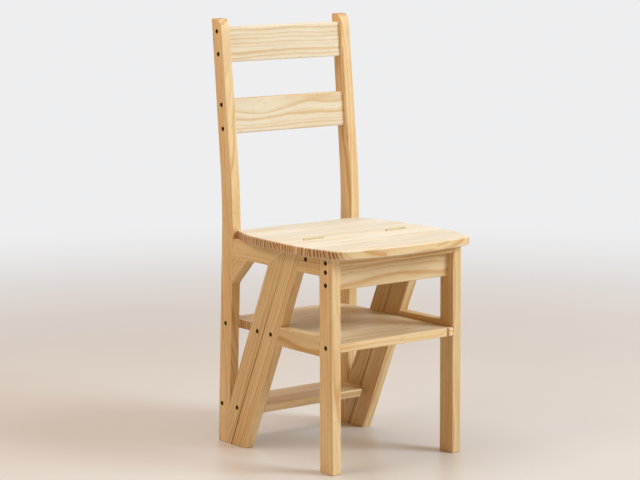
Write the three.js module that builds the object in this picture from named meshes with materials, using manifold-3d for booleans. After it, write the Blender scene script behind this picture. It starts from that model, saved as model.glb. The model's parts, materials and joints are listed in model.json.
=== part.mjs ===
// A pine step chair. Its rear half swings forward on two hinges in the seat and the chair becomes a ladder.
// Sizes are millimetres. X runs across the chair, Y from the front to the back and Z up from the floor.
// Profiles are drawn with Y = 0 at the seat joint, and the finished chair is centred on its own footprint.

import * as THREE from 'three';
import { mergeVertices } from 'three/addons/utils/BufferGeometryUtils.js';
import Module from 'manifold-3d';

const wasm = await Module();
wasm.setup();

// Overall sizes
const seatHeight = 460;
const backHeight = 900;
const frameWidth = 338;
const sideThickness = 22.4;
const boardThickness = 18;

// Fits: a glued or seated joint, the gap along the parting line and the gap between the seat halves
const fit = 0.3;
const partingGap = 1;
const seatGap = 1;

// How far past a face a cutting shape runs
const overrun = 5;

// Parting line: it slants from the seat joint to the floor, with one stile on each side of it
const partingFoot = 210.3;
const stileWidth = 44.5;

// Rear posts: straight below and above one gentle bend
const postFootBack = 259.5;
const postFootDepth = 38;
const postBendBack = 236.8;
const postBendDepth = 39.2;
const postBendBackHeight = 518;
const postBendFrontHeight = 505;
const postBendLength = 80;
const postTopBack = 269.7;
const postTopDepth = 33.6;
const postTopFlat = 20;
const postTopRound = 37;

// Back slats
const slatThickness = 16;
const topSlatDrop = 18;
const topSlatHeight = 73;
const slatSpacing = 76.5;
const middleSlatHeight = 72.5;
const topSlatScrews = [17, 64.5];
const middleSlatScrews = [11, 61];

// Side rails, with a brace in the corner under the rear one
const upperRailHeight = 40;
const lowerRailHeight = 40;
const lowerRailBottom = 238.5;
const braceLeg = 56;

// Stub tenons on the rails' ends
const tenonThickness = 8;
const tenonHeight = 24;
const tenonLength = 15;

// Front legs
const legFront = -140.9;
const legDepth = 41.8;

// Shelves and the bearer board, whose ends are let into the side frames
const housingDepth = 1.5;
const middleShelfBottom = 249.5;
const lowerShelfBottom = 74;
const shelfBackInset = 1;
const noseHalfWidth = 120;
const noseReach = 26.5;
const bearerDepth = 95;

// Apron under the bearer
const apronHeight = 50.6;
const apronSetback = 16;

// Seat outline: half widths at places behind the seat joint, and the front edge
const seatFront = -190;
const seatCornerFront = -177;
const seatCornerHalfWidth = 143;
const seatCornerRadius = 38;
const seatWidest = { y: -70, halfWidth: 194 };
const seatWaist = { y: 40, halfWidth: 190 };
const seatRearSide = { y: 130, halfWidth: 181 };
const seatRearHalfWidth = 156;
const seatRounding = 3;

// Counterbored screws in the outer faces of the side frames
const screw = { radius: 2, length: 46, tip: 6, headRadius: 4, headHeight: 2.6 };
const counterbore = { radius: 4.6, depth: 6 };
const screwClearance = 0.3;
const apronScrewInset = 12;
const bearerScrewDrop = 29.5;
const railScrewSetback = 86.8;
const rearStileScrewInset = 19.9;
const lowerStileScrewInset = 15.4;
const lowerPostScrewInset = 11.2;

// Butt hinges let into the seat joint
const hinge = {
  offset: 108, length: 50, leafHeight: 13, leafThickness: 1.2, leafGap: 0.2,
  barrelRadius: 2.3, pinRadius: 1.1, pinClearance: 0.1, pinHead: 0.7, knuckles: 5, knuckleGap: 0.3, rise: 0.2,
};
const leafScrew = { radius: 1.4, length: 13, count: 3, margin: 8, drop: 7 };

// Facets of round parts
const curveSegments = 8;
const roundingSegments = 3;
const screwFacets = 12;
const hingeFacets = 16;

// Values that follow from the sizes above
const outerFace = frameWidth / 2;
const innerFace = outerFace - sideThickness;
const seatUnderside = seatHeight - boardThickness;
const upperRailBottom = seatUnderside - upperRailHeight;
const bearerBottom = seatUnderside - boardThickness;
const middleShelfTop = middleShelfBottom + boardThickness;
const lowerShelfTop = lowerShelfBottom + boardThickness;
const housedHalfWidth = innerFace + housingDepth;
const legBack = legFront + legDepth;
const hingeAxis = seatHeight + hinge.rise;
const topSlatBottom = backHeight - topSlatDrop - topSlatHeight;
const topSlat = { bottom: topSlatBottom, height: topSlatHeight, screws: topSlatScrews };
const middleSlat = {
  bottom: topSlatBottom - slatSpacing - middleSlatHeight, height: middleSlatHeight, screws: middleSlatScrews,
};
const sides = { left: -1, right: 1 };
const halves = { front: -1, rear: 1 };

// The parting line and the lines parallel to it, as distances behind the seat joint at a height
const slant = Math.hypot(partingFoot, seatHeight) / seatHeight;
const beside = (height, across) => partingFoot * (1 - height / seatHeight) + across * slant;
const frontStileBack = (height) => beside(height, -partingGap / 2);
const frontStileFront = (height) => beside(height, -partingGap / 2 - stileWidth);
const rearStileFront = (height) => beside(height, partingGap / 2);
const rearStileBack = (height) => beside(height, partingGap / 2 + stileWidth);

// The faces of a rear post below its bend and above it
const along = (height, low, lowHeight, high, highHeight) =>
  low + (high - low) * (height - lowHeight) / (highHeight - lowHeight);
const postBendFront = postBendBack - postBendDepth;
const lowerPostFront = (height) =>
  along(height, postFootBack - postFootDepth, 0, postBendFront, postBendFrontHeight);
const lowerPostBack = (height) => along(height, postFootBack, 0, postBendBack, postBendBackHeight);
const upperPostFront = (height) =>
  along(height, postBendFront, postBendFrontHeight, postTopBack - postTopDepth, backHeight);
const upperPostBack = (height) =>
  along(height, postBendBack, postBendBackHeight, postTopBack, backHeight);
const lowerPostMiddle = (height) => (lowerPostFront(height) + lowerPostBack(height)) / 2;
const upperPostMiddle = (height) => (upperPostFront(height) + upperPostBack(height)) / 2;
const seatRear = lowerPostFront(seatHeight) - fit;

// Closed meshes become solids for cuts and joins, and come back as plain geometry
function toSolid(geometry) {
  const bare = geometry.clone();
  bare.deleteAttribute('normal');
  bare.deleteAttribute('uv');
  const merged = mergeVertices(bare);
  return new wasm.Manifold(new wasm.Mesh({
    numProp: 3,
    vertProperties: Float32Array.from(merged.attributes.position.array),
    triVerts: Uint32Array.from(merged.index.array),
  }));
}

function toGeometry(solid) {
  const mesh = solid.getMesh();
  const geometry = new THREE.BufferGeometry();
  geometry.setAttribute('position', new THREE.BufferAttribute(mesh.vertProperties, mesh.numProp));
  geometry.setIndex(new THREE.BufferAttribute(mesh.triVerts, 1));
  geometry.computeVertexNormals();
  return geometry;
}

const joined = (first, ...rest) => rest.reduce((solid, other) => solid.add(other), first);
const cut = (first, ...tools) => tools.reduce((solid, tool) => solid.subtract(tool), first);

// A rectangular block between two limits on each axis
function block(x, y, z) {
  const geometry = new THREE.BoxGeometry(
    Math.abs(x[1] - x[0]), Math.abs(y[1] - y[0]), Math.abs(z[1] - z[0]));
  geometry.translate((x[0] + x[1]) / 2, (y[0] + y[1]) / 2, (z[0] + z[1]) / 2);
  return toSolid(geometry);
}

// A side profile, drawn as points of Y and Z, that runs across the chair between two values of X
function profileBoard(profile, x) {
  const shape = Array.isArray(profile)
    ? new THREE.Shape(profile.map(([y, z]) => new THREE.Vector2(y, z)))
    : profile;
  const depth = Math.abs(x[1] - x[0]);
  const geometry = new THREE.ExtrudeGeometry(shape, { depth, bevelEnabled: false, curveSegments });
  geometry.applyMatrix4(new THREE.Matrix4().makeBasis(
    new THREE.Vector3(0, 1, 0), new THREE.Vector3(0, 0, 1), new THREE.Vector3(1, 0, 0)));
  geometry.translate(Math.min(...x), 0, 0);
  return toSolid(geometry);
}

// A side member of one frame, flush with the frame's outer face
const sideMember = (profile, side) => profileBoard(profile, [side * innerFace, side * outerFace]);

// A round bar along X
function crossBar(radius, x, y, z, facets) {
  const geometry = new THREE.CylinderGeometry(radius, radius, Math.abs(x[1] - x[0]), facets);
  geometry.rotateZ(Math.PI / 2);
  geometry.translate((x[0] + x[1]) / 2, y, z);
  return toSolid(geometry);
}

// A round bar along Y
function depthBar(radius, x, y, z, facets) {
  const geometry = new THREE.CylinderGeometry(radius, radius, Math.abs(y[1] - y[0]), facets);
  geometry.translate(x, (y[0] + y[1]) / 2, z);
  return toSolid(geometry);
}

// Where the screws go in, as a distance behind the seat joint and a height, with the pieces they hold
function slatScrews(slat, board) {
  return slat.screws.map((rise) => {
    const height = slat.bottom + rise;
    return { member: 'rear_post', board, y: upperPostMiddle(height), z: height };
  });
}

const middleShelfHeight = middleShelfBottom + boardThickness / 2;
const lowerShelfHeight = lowerShelfBottom + boardThickness / 2;
const bearerScrewHeight = seatHeight - bearerScrewDrop;
const apronBottom = bearerBottom - apronHeight;
const legScrew = legFront + legDepth / 2;

const screws = [
  ...slatScrews(topSlat, 'top_back_slat'),
  ...slatScrews(middleSlat, 'middle_back_slat'),
  {
    member: 'rear_post', board: 'middle_shelf_rear',
    y: lowerPostMiddle(middleShelfHeight), z: middleShelfHeight,
  },
  {
    member: 'rear_post', board: 'lower_shelf',
    y: lowerPostBack(lowerShelfHeight) - lowerPostScrewInset, z: lowerShelfHeight,
  },
  {
    member: 'rear_stile', board: 'middle_shelf_rear',
    y: beside(middleShelfHeight, rearStileScrewInset), z: middleShelfHeight,
  },
  {
    member: 'rear_stile', board: 'lower_shelf',
    y: beside(lowerShelfHeight, lowerStileScrewInset), z: lowerShelfHeight,
  },
  {
    member: 'front_stile', board: 'middle_shelf_front',
    y: beside(middleShelfHeight, -(partingGap + stileWidth) / 2), z: middleShelfHeight,
  },
  { member: 'front_upper_rail', board: 'seat_bearer', y: legFront + railScrewSetback, z: bearerScrewHeight },
  { member: 'front_leg', board: 'seat_bearer', y: legScrew, z: bearerScrewHeight },
  { member: 'front_leg', board: 'front_apron', y: legScrew, z: bearerBottom - apronScrewInset },
  { member: 'front_leg', board: 'front_apron', y: legScrew, z: apronBottom + apronScrewInset },
  { member: 'front_leg', board: 'middle_shelf_front', y: legScrew, z: middleShelfHeight },
];

// The hole of one screw: a counterbore for the head and a narrower bore along the shank
function screwHole({ y, z }, side) {
  const floor = outerFace - counterbore.depth;
  const end = floor - screw.length - screwClearance;
  return joined(
    crossBar(counterbore.radius, [side * (outerFace + overrun), side * floor], y, z, screwFacets),
    crossBar(screw.radius + screwClearance, [side * outerFace, side * end], y, z, screwFacets));
}

const holesIn = (name, side) =>
  screws.filter((place) => place.member === name || place.board === name)
    .map((place) => screwHole(place, side));

const holesInBoard = (name) => [...holesIn(name, sides.left), ...holesIn(name, sides.right)];

// The groove that takes the end of a board, along the inner face of a side frame
function housing(side, bottom, top) {
  const reach = [side * (innerFace - overrun), side * (housedHalfWidth + fit)];
  return block(reach, [legFront - overrun, postFootBack + overrun], [bottom - fit, top + fit]);
}

const middleHousing = (side) => housing(side, middleShelfBottom, middleShelfTop);
const lowerHousing = (side) => housing(side, lowerShelfBottom, lowerShelfTop);
const bearerHousing = (side) => housing(side, bearerBottom, seatUnderside + overrun);

// A stub tenon centred in the thickness of a side member, and the mortise that takes it
function tenon(side, y, height, clearance = 0) {
  const middle = side * (innerFace + outerFace) / 2;
  const halfThickness = tenonThickness / 2 + clearance;
  const halfHeight = tenonHeight / 2 + clearance;
  return block(
    [middle - halfThickness, middle + halfThickness], y, [height - halfHeight, height + halfHeight]);
}

const upperRailMiddle = upperRailBottom + upperRailHeight / 2;
const lowerRailTop = lowerRailBottom + lowerRailHeight;
const lowerRailMiddle = lowerRailBottom + lowerRailHeight / 2;
const legTenon = [legBack - tenonLength, legBack + tenonLength];
const legMortise = [legBack - tenonLength - fit, legBack + overrun];
const postTenonTip = lowerPostFront(upperRailMiddle) + tenonLength;

// Rear post: the two faces are straight lines joined by a bend, and the top is rounded to the front
function rearPost(side) {
  const shape = new THREE.Shape();
  const frontBendEnd = postBendFrontHeight + postBendLength;
  const backBendEnd = postBendBackHeight + postBendLength;
  const frontBendStart = postBendFrontHeight - postBendLength;
  const backBendStart = postBendBackHeight - postBendLength;
  const roundStart = backHeight - postTopRound;
  shape.moveTo(lowerPostFront(0), 0);
  shape.lineTo(lowerPostBack(0), 0);
  shape.lineTo(lowerPostBack(backBendStart), backBendStart);
  shape.quadraticCurveTo(
    postBendBack, postBendBackHeight, upperPostBack(backBendEnd), backBendEnd);
  shape.lineTo(upperPostBack(backHeight), backHeight);
  shape.lineTo(upperPostBack(backHeight) - postTopFlat, backHeight);
  shape.quadraticCurveTo(
    upperPostFront(backHeight), backHeight, upperPostFront(roundStart), roundStart);
  shape.lineTo(upperPostFront(frontBendEnd), frontBendEnd);
  shape.quadraticCurveTo(
    postBendFront, postBendFrontHeight, lowerPostFront(frontBendStart), frontBendStart);
  const mortise = tenon(side, [seatRear - overrun, postTenonTip + fit], upperRailMiddle, fit);
  return cut(
    sideMember(shape, side), mortise, middleHousing(side), lowerHousing(side), ...holesIn('rear_post', side));
}

// Back slat: it leans with the posts and is centred in their depth
function backSlat(slat, name) {
  const top = slat.bottom + slat.height;
  const half = slatThickness / 2;
  const low = upperPostMiddle(slat.bottom);
  const high = upperPostMiddle(top);
  const profile = [
    [low - half, slat.bottom], [low + half, slat.bottom], [high + half, top], [high - half, top],
  ];
  return cut(profileBoard(profile, [-innerFace, innerFace]), ...holesInBoard(name));
}

// Rear upper rail: mitred to the stile at one end, cut to the post's face at the other
function rearUpperRail(side) {
  const rail = sideMember([
    [rearStileFront(seatUnderside) + fit * slant, seatUnderside],
    [rearStileBack(upperRailBottom) + fit * slant, upperRailBottom],
    [lowerPostFront(upperRailBottom) - fit, upperRailBottom],
    [lowerPostFront(seatUnderside) - fit, seatUnderside],
  ], side);
  return joined(rail, tenon(side, [postTenonTip - tenonLength * 2, postTenonTip], upperRailMiddle));
}

// Corner brace: a triangle between the post and the rail
function rearBrace(side) {
  const top = upperRailBottom;
  const bottom = top - braceLeg;
  return sideMember([
    [lowerPostFront(bottom) - fit, bottom], [lowerPostFront(top) - fit, top],
    [lowerPostFront(top) - fit - braceLeg, top],
  ], side);
}

// Rear stile: its foot is cut back along the post's face to a wedge, its head is mitred to the rail
function rearStile(side) {
  const postFace = (height) => lowerPostFront(height) - fit;
  const meeting = crossing(postFace, rearStileBack);
  const stile = sideMember([
    [rearStileFront(0), 0], [postFace(0), 0], [postFace(meeting), meeting],
    [rearStileBack(upperRailBottom), upperRailBottom], [rearStileFront(seatUnderside), seatUnderside],
  ], side);
  return cut(stile, middleHousing(side), lowerHousing(side), ...holesIn('rear_stile', side));
}

// The height at which two straight lines cross
function crossing(first, second) {
  const spread = (height) => first(height) - second(height);
  return seatHeight * spread(0) / (spread(0) - spread(seatHeight));
}

// Front leg: square, with mortises for both side rails
function frontLeg(side) {
  const x = [side * innerFace, side * outerFace];
  return cut(
    block(x, [legFront, legBack], [0, seatUnderside]),
    tenon(side, legMortise, upperRailMiddle, fit),
    tenon(side, legMortise, lowerRailMiddle, fit),
    middleHousing(side),
    bearerHousing(side),
    ...holesIn('front_leg', side));
}

// A front side rail: a tenon into the leg, and one into the stile whose slant its end follows
function frontRail(side, bottom, top, middle) {
  const body = sideMember([
    [legBack, bottom], [frontStileFront(bottom) - fit * slant, bottom],
    [frontStileFront(top) - fit * slant, top], [legBack, top],
  ], side);
  const stileEnd = frontStileFront(middle);
  const stileTenon = [stileEnd - tenonLength, stileEnd + tenonLength];
  return joined(body, tenon(side, legTenon, middle), tenon(side, stileTenon, middle));
}

const frontUpperRail = (side) => cut(
  frontRail(side, upperRailBottom, seatUnderside, upperRailMiddle),
  bearerHousing(side),
  ...holesIn('front_upper_rail', side));

const frontLowerRail = (side) => cut(
  frontRail(side, lowerRailBottom, lowerRailTop, lowerRailMiddle), middleHousing(side));

// Front stile: parallel to the rear one, square to the floor and to the seat
function frontStile(side) {
  const mortise = (middle) => {
    const face = frontStileFront(middle);
    return tenon(side, [face - tenonLength * 2, face + tenonLength + fit], middle, fit);
  };
  const stile = sideMember([
    [frontStileFront(0), 0], [frontStileBack(0), 0],
    [frontStileBack(seatUnderside), seatUnderside], [frontStileFront(seatUnderside), seatUnderside],
  ], side);
  return cut(
    stile, mortise(upperRailMiddle), mortise(lowerRailMiddle), middleHousing(side),
    ...holesIn('front_stile', side));
}

// Apron and the bearer board on top of it, both between the front legs
function frontApron() {
  const front = legFront + apronSetback;
  const board = block([-innerFace, innerFace], [front, front + boardThickness], [apronBottom, bearerBottom]);
  return cut(board, ...holesInBoard('front_apron'));
}

function seatBearer() {
  const y = [legFront, legFront + bearerDepth];
  return cut(
    block([-housedHalfWidth, housedHalfWidth], y, [bearerBottom, seatUnderside]),
    ...holesInBoard('seat_bearer'));
}

// Middle shelf: it is parted along the slanted line like the side frames
function middleShelfFront() {
  const profile = [
    [legFront, middleShelfBottom], [frontStileBack(middleShelfBottom), middleShelfBottom],
    [frontStileBack(middleShelfTop), middleShelfTop], [legFront, middleShelfTop],
  ];
  return cut(
    profileBoard(profile, [-housedHalfWidth, housedHalfWidth]), ...holesInBoard('middle_shelf_front'));
}

function rearShelfProfile(bottom, top, front) {
  const back = lowerPostBack(top) - shelfBackInset;
  return [[front(bottom), bottom], [back, bottom], [back, top], [front(top), top]];
}

const middleShelfRear = () => cut(
  profileBoard(
    rearShelfProfile(middleShelfBottom, middleShelfTop, rearStileFront), [-housedHalfWidth, housedHalfWidth]),
  ...holesInBoard('middle_shelf_rear'));

// Lower shelf: its nose reaches forward past the parting line, between the front stiles
function lowerShelf() {
  const nose = (height) => beside(height, -noseReach);
  const board = profileBoard(
    rearShelfProfile(lowerShelfBottom, lowerShelfTop, rearStileFront), [-housedHalfWidth, housedHalfWidth]);
  const tongue = profileBoard(
    rearShelfProfile(lowerShelfBottom, lowerShelfTop, nose), [-noseHalfWidth, noseHalfWidth]);
  return cut(joined(board, tongue), ...holesInBoard('lower_shelf'));
}

// Half of the seat's outline, from the middle of the front edge to the middle of the rear edge
function seatHalfOutline() {
  const sweep = (seatCornerFront - seatFront) / (seatCornerHalfWidth / 2);
  const cornerPoint = new THREE.Vector2(
    seatCornerHalfWidth + seatCornerRadius, seatCornerFront + seatCornerRadius * sweep);
  const sideStart = new THREE.Vector2(cornerPoint.x, cornerPoint.y + seatCornerRadius);
  const frontEdge = new THREE.QuadraticBezierCurve(
    new THREE.Vector2(0, seatFront),
    new THREE.Vector2(seatCornerHalfWidth / 2, seatFront),
    new THREE.Vector2(seatCornerHalfWidth, seatCornerFront));
  const corner = new THREE.QuadraticBezierCurve(frontEdge.v2, cornerPoint, sideStart);
  const side = new THREE.SplineCurve([
    sideStart,
    new THREE.Vector2(seatWidest.halfWidth, seatWidest.y),
    new THREE.Vector2(seatWaist.halfWidth, seatWaist.y),
    new THREE.Vector2(seatRearSide.halfWidth, seatRearSide.y),
    new THREE.Vector2(seatRearHalfWidth, seatRear),
  ]);
  return [
    ...frontEdge.getPoints(curveSegments),
    ...corner.getPoints(curveSegments).slice(1),
    ...side.getPoints(curveSegments * 2).slice(1),
  ];
}

// The whole seat blank, rounded all round, before it is sawn in two at the hinges
function seatBlank() {
  const half = seatHalfOutline();
  const mirrored = half.map((point) => new THREE.Vector2(-point.x, point.y)).reverse();
  const outline = [...half, ...mirrored.slice(0, -1)];
  const geometry = new THREE.ExtrudeGeometry(new THREE.Shape(outline), {
    depth: boardThickness - seatRounding * 2,
    bevelThickness: seatRounding,
    bevelSize: seatRounding,
    bevelOffset: -seatRounding,
    bevelSegments: roundingSegments,
  });
  geometry.translate(0, 0, seatUnderside + seatRounding);
  return toSolid(geometry);
}

// The hinges: way is the side of the seat joint that a leaf or a seat half lies on
const barrelLength = hinge.length / hinge.knuckles;
const leafTop = hingeAxis - hinge.barrelRadius - fit;
const leafBottom = leafTop - hinge.leafHeight;
const hingePlaces = Object.entries(sides).map(([name, side]) => ({ name, x: side * hinge.offset }));

function leafScrewPlaces(x) {
  const span = hinge.length - leafScrew.margin * 2;
  return Array.from({ length: leafScrew.count }, (_, index) =>
    x - span / 2 + span * index / (leafScrew.count - 1));
}

function hingeLeaf(x, way) {
  const face = way * hinge.leafGap / 2;
  const back = way * (hinge.leafGap / 2 + hinge.leafThickness);
  const start = x - hinge.length / 2;
  const plate = block([start, start + hinge.length], [face, back], [leafBottom, leafTop]);
  const neckTop = hingeAxis - (hinge.barrelRadius + hinge.pinRadius) / 2;
  const knuckleIndexes = Array.from({ length: hinge.knuckles }, (_, index) => index)
    .filter((index) => (index % 2 === 1) === (way === halves.rear));
  const knuckles = knuckleIndexes.flatMap((index) => {
    const reach = [
      start + barrelLength * index + hinge.knuckleGap / 2,
      start + barrelLength * (index + 1) - hinge.knuckleGap / 2,
    ];
    const barrel = crossBar(hinge.barrelRadius, reach, 0, hingeAxis, hingeFacets);
    return [barrel, block(reach, [face, back], [leafTop, neckTop])];
  });
  const shanks = leafScrewPlaces(x).map((place) =>
    depthBar(leafScrew.radius, place, [face, way * leafScrew.length], leafTop - leafScrew.drop, screwFacets));
  const bore = crossBar(
    hinge.pinRadius + hinge.pinClearance, [start - overrun, start + hinge.length + overrun], 0, hingeAxis,
    hingeFacets);
  return cut(joined(plate, ...knuckles, ...shanks), bore);
}

function hingePin(x) {
  const half = hinge.length / 2;
  const head = (side) => crossBar(
    hinge.barrelRadius, [x + side * (half + fit), x + side * (half + fit + hinge.pinHead)], 0, hingeAxis,
    hingeFacets);
  const shaft = crossBar(hinge.pinRadius, [x - half - fit, x + half + fit], 0, hingeAxis, hingeFacets);
  return joined(shaft, head(sides.left), head(sides.right));
}

// What each hinge takes out of a seat half: a mortise for the leaf, a groove for the barrel, screw holes
function hingeRecess(x, way) {
  const half = hinge.length / 2 + hinge.pinHead + fit * 2;
  const depth = way * (hinge.leafGap / 2 + hinge.leafThickness + fit);
  const leaf = block(
    [x - hinge.length / 2 - fit, x + hinge.length / 2 + fit], [-way * overrun, depth],
    [leafBottom - fit, hingeAxis]);
  const barrel = crossBar(hinge.barrelRadius + fit * 2, [x - half, x + half], 0, hingeAxis, hingeFacets);
  const shanks = leafScrewPlaces(x).map((place) => depthBar(
    leafScrew.radius + screwClearance, place, [0, way * (leafScrew.length + screwClearance)],
    leafTop - leafScrew.drop, screwFacets));
  return joined(leaf, barrel, ...shanks);
}

function seatHalf(way) {
  const joint = way * seatGap / 2;
  const keep = block(
    [-frameWidth, frameWidth], [joint, way * backHeight], [seatUnderside - overrun, seatHeight + overrun]);
  const recesses = hingePlaces.map(({ x }) => hingeRecess(x, way));
  return cut(seatBlank().intersect(keep), ...recesses);
}

// One screw: a flat round head, a plain shank and a pointed end
function sideScrew({ y, z }, side) {
  const geometry = new THREE.LatheGeometry([
    new THREE.Vector2(0, -screw.length),
    new THREE.Vector2(screw.radius, screw.tip - screw.length),
    new THREE.Vector2(screw.radius, 0),
    new THREE.Vector2(screw.headRadius, 0),
    new THREE.Vector2(screw.headRadius, screw.headHeight),
    new THREE.Vector2(0, screw.headHeight),
  ], screwFacets);
  geometry.rotateZ(-side * Math.PI / 2);
  geometry.translate(side * (outerFace - counterbore.depth + fit), y, z);
  return toSolid(geometry);
}

// Materials: clear-lacquered pine in two tones, brass and plated steel
const pine = { color: 0xe3b878, roughness: 0.45, metalness: 0 };
const shadedPine = { color: 0xd9a866, roughness: 0.45, metalness: 0 };
const brass = { color: 0xc9a45c, roughness: 0.35, metalness: 1 };
const steel = { color: 0x8a8680, roughness: 0.35, metalness: 1 };

const chair = new THREE.Group();

function place(name, solid, finish) {
  const mesh = new THREE.Mesh(toGeometry(solid), new THREE.MeshStandardMaterial(finish));
  mesh.name = name;
  chair.add(mesh);
}

for (const [name, side] of Object.entries(sides)) {
  place(`rear_post_${name}`, rearPost(side), pine);
  place(`rear_upper_rail_${name}`, rearUpperRail(side), shadedPine);
  place(`rear_brace_${name}`, rearBrace(side), shadedPine);
  place(`rear_stile_${name}`, rearStile(side), pine);
  place(`front_leg_${name}`, frontLeg(side), pine);
  place(`front_upper_rail_${name}`, frontUpperRail(side), shadedPine);
  place(`front_lower_rail_${name}`, frontLowerRail(side), shadedPine);
  place(`front_stile_${name}`, frontStile(side), pine);
  screws.forEach((spot, index) => {
    place(`screw_${name}_${index + 1}_${spot.board}`, sideScrew(spot, side), steel);
  });
}

place('top_back_slat', backSlat(topSlat, 'top_back_slat'), pine);
place('middle_back_slat', backSlat(middleSlat, 'middle_back_slat'), pine);
place('middle_shelf_rear', middleShelfRear(), pine);
place('middle_shelf_front', middleShelfFront(), pine);
place('lower_shelf', lowerShelf(), pine);
place('front_apron', frontApron(), pine);
place('seat_bearer', seatBearer(), shadedPine);

for (const [half, way] of Object.entries(halves)) {
  place(`seat_${half}`, seatHalf(way), pine);
  hingePlaces.forEach(({ name, x }) => place(`hinge_leaf_${half}_${name}`, hingeLeaf(x, way), brass));
}

hingePlaces.forEach(({ name, x }) => place(`hinge_pin_${name}`, hingePin(x), steel));

// The origin lies on the floor under the middle of the chair
chair.position.y = -(seatFront + upperPostBack(backHeight)) / 2;

export default chair;
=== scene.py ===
import json
import math
import random

import bmesh
import bpy
from mathutils import Matrix, Vector
from mathutils.bvhtree import BVHTree


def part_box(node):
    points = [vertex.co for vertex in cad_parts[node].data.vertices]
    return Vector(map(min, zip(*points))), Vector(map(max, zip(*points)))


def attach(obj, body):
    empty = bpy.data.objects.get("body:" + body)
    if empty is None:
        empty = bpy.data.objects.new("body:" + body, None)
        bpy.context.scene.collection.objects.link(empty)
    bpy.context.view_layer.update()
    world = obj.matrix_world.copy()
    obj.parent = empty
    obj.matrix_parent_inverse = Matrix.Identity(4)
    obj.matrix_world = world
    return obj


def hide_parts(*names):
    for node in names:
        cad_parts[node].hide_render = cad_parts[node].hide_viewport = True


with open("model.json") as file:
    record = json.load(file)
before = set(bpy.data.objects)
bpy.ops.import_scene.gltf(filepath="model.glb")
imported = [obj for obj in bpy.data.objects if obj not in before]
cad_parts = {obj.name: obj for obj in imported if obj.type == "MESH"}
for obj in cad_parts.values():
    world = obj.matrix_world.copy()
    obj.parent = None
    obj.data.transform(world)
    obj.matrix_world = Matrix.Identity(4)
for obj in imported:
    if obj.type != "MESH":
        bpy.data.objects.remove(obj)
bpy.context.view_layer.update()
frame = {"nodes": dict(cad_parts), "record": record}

MM = 0.001
ORIGIN = Vector((0, 0, 0))
X_AXIS = Vector((1, 0, 0))
Y_AXIS = Vector((0, 1, 0))
Z_AXIS = Vector((0, 0, 1))

# Places of two axes in a vector
ACROSS, UP = 0, 2

# Tolerances for reading the solids
WELD = 0.01 * MM
FLAT = 0.02 * MM
CONTACT = 0.9 * MM
SAMPLE = 1.5 * MM
IDLE_TURN = math.radians(0.15)
SMOOTH_TURN = math.radians(24)

# Edges of the boards, eased by hand
EASED_EDGE = 2.0 * MM
JOINT_EDGE = 0.25 * MM
SEAT_EDGE = 3.2 * MM
SEAM_EDGE = 0.5 * MM
EASING_RAMP = 4 * MM
EASING_STEPS = 5

# Outlines of the boards
CORNER_RADIUS = 2.4 * MM
CORNER_STEPS = 4
SEAT_ROUNDING = 3 * MM
SEAM_OPENING = 3.2 * MM
NOSE_HALF_WIDTH = 130 * MM
CURVE_PARTS = 4
CURVE_LIMIT = 72 * MM
MITER_LIMIT = 0.2

# Cuts in the boards: housings for other boards, and counterbores for the screws
HOUSING_GAP = 0.3 * MM
BORE_RADIUS = 4.6 * MM
BORE_DEPTH = 6 * MM
BORE_CHAMFER = 0.35 * MM
PILOT_RADIUS = 2.3 * MM
OVERRUN = 5 * MM
ROUND_STEPS = 32

# Screws with a flat head and a cross recess
HEAD_RADIUS = 4.0 * MM
HEAD_HEIGHT = 2.6 * MM
HEAD_EDGE = 0.4 * MM
HEAD_EDGE_SHARES = (0.375, 0.25)
SHANK_RADIUS = 2 * MM
SHANK_LENGTH = 40 * MM
POINT_LENGTH = 6 * MM
RECESS_LENGTH = 4.6 * MM
RECESS_WIDTH = 0.9 * MM
RECESS_FLOOR = 1.0 * MM

# Hinges
KNUCKLES = 5
KNUCKLE_GAP = 0.3 * MM
KNUCKLE_CHAMFER = 0.3 * MM
LEAF_GAP = 0.2 * MM
LEAF_THICKNESS = 1.2 * MM
LEAF_BEVEL_STEPS = 2
PIN_RADIUS = 1.1 * MM
PIN_CLEARANCE = 0.1 * MM
PIN_HEAD = 0.7 * MM
PIN_HEAD_SHARES = ((0, 0.55), (0.35, 0.85), (0.75, 1.0))
LEAF_SCREW_PLACES = (-17 * MM, 0, 17 * MM)
LEAF_SCREW_DROP = 7 * MM
LEAF_SCREW_RADIUS = 2.6 * MM
LEAF_SCREW_DEPTH = 0.9 * MM
LEAF_SCREW_SLOT = (4.2 * MM, 0.7 * MM, 0.4 * MM)

# Kinds of faces on a board: its sides, its eased edges, and what is cut into it
FACE_KINDS = 3
PLAIN_FACE, EASED_FACE, BORED_FACE = range(FACE_KINDS)
SHARP_ANGLE = math.radians(35)
LARGE_FACE_WEIGHT = 100

SIDES = {"left": -1, "right": 1}
HALVES = {"front": -1, "rear": 1}
SIDE_MEMBERS = (
    "rear_post", "rear_upper_rail", "rear_brace", "rear_stile",
    "front_leg", "front_upper_rail", "front_lower_rail", "front_stile",
)
HOUSED_BOARDS = ("middle_shelf_front", "middle_shelf_rear", "lower_shelf", "seat_bearer")
HARDWARE = ("screw_", "hinge_")

nodes = frame["nodes"]
boards = [node for node in sorted(nodes) if not node.startswith(HARDWARE)]
body_of_node = {node: body for body, members in frame["record"]["behaviour"]["bodies"].items()
                for node in members}
inner_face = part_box("front_leg_right")[0].x
outer_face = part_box("front_leg_right")[1].x


# Reading the solids

def welded(node):
    mesh = bmesh.new()
    mesh.from_mesh(nodes[node].data)
    bmesh.ops.remove_doubles(mesh, verts=mesh.verts, dist=WELD)
    return mesh


def tree_of(node):
    mesh = welded(node)
    tree = BVHTree.FromBMesh(mesh)
    mesh.free()
    return tree


trees = {node: tree_of(node) for node in boards}


def area_of(ring):
    return sum(a.x * b.y - b.x * a.y for a, b in zip(ring, ring[1:] + ring[:1])) / 2


def turn_at(before, here, after):
    """The angle by which a ring turns at a point."""
    return (here - before).angle_signed(after - here, 0)


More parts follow.
